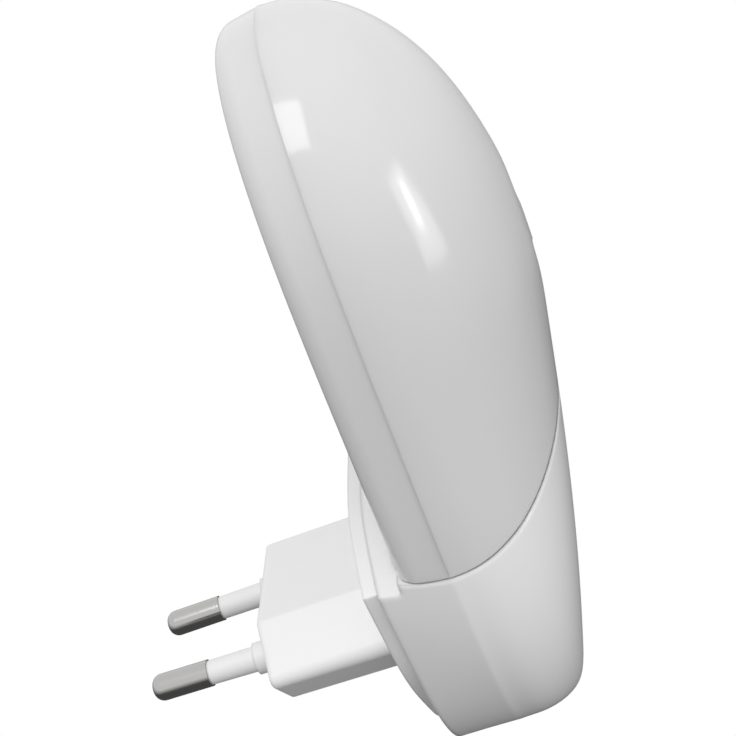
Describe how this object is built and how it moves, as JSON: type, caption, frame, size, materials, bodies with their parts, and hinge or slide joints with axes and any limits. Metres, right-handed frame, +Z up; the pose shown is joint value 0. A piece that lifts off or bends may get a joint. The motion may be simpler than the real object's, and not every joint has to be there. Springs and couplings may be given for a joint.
{
  "type": "plug in night light",
  "caption": "Plug in night light: cup base with a two pin plug and a side rocker switch, bulb in a screw holder, and an arched milky diffuser that lifts off.",
  "frame": {"origin": "centre of the plug's engagement face, between the pins, where it meets the wall socket", "axes": "+Z up, +Y into the wall, -Y towards the room, X across; the shell mirrors in X = 0"},
  "size_m": [0.0606, 0.0738, 0.1112],
  "materials": {
    "diffuser": "milky, glossy",
    "white_shell": "glossy",
    "white_matt": "satin",
    "sleeve": "satin",
    "pin_nickel": "nickel plated",
    "steel": "bright zinc",
    "brass": "bright",
    "cap_metal": "bright",
    "black_glass": "glossy",
    "glass": "clear",
    "tungsten": "dull",
    "wire_brown": "satin",
    "wire_blue": "satin"
  },
  "bodies": {
    "lamp_base": {"base_shell": "white_shell", "rear_cover": "white_matt", "cover_screws": "steel", "pin_left": "pin_nickel", "pin_right": "pin_nickel", "pin_sleeves": "sleeve", "crimps": "brass", "lamp_holder": "white_matt", "retaining_ring": "steel", "thread_shell": "brass", "centre_contact": "brass", "switch_body": "white_matt", "switch_terminals": "brass", "wire_live": "wire_brown", "wire_switched": "wire_brown", "wire_neutral": "wire_blue"},
    "rocker": {"switch_rocker": "white_shell"},
    "diffuser": {"diffuser_front": "diffuser", "diffuser_back": "diffuser"},
    "bulb": {"bulb_glass": "glass", "bulb_cap": "cap_metal", "bulb_insulator": "black_glass", "bulb_contact": "cap_metal", "bulb_leads": "tungsten", "bulb_stem": "glass", "filament": "tungsten"}
  },
  "joints": [
    {"name": "rocker_tilt", "type": "hinge", "parent": "lamp_base", "child": "rocker", "pos_m": [0.0254, -0.033, 0], "axis": [0, -1, 0], "range_deg": [0, 16]},
    {"name": "diffuser_lift", "type": "slide", "parent": "lamp_base", "child": "diffuser", "axis": [0, 0, 1], "range_m": [0, 0.09]},
    {"name": "bulb_turn", "type": "hinge", "parent": "lamp_base", "child": "bulb", "pos_m": [0, -0.036, 0.016], "axis": [0, 0, 1], "continuous": true}
  ]
}
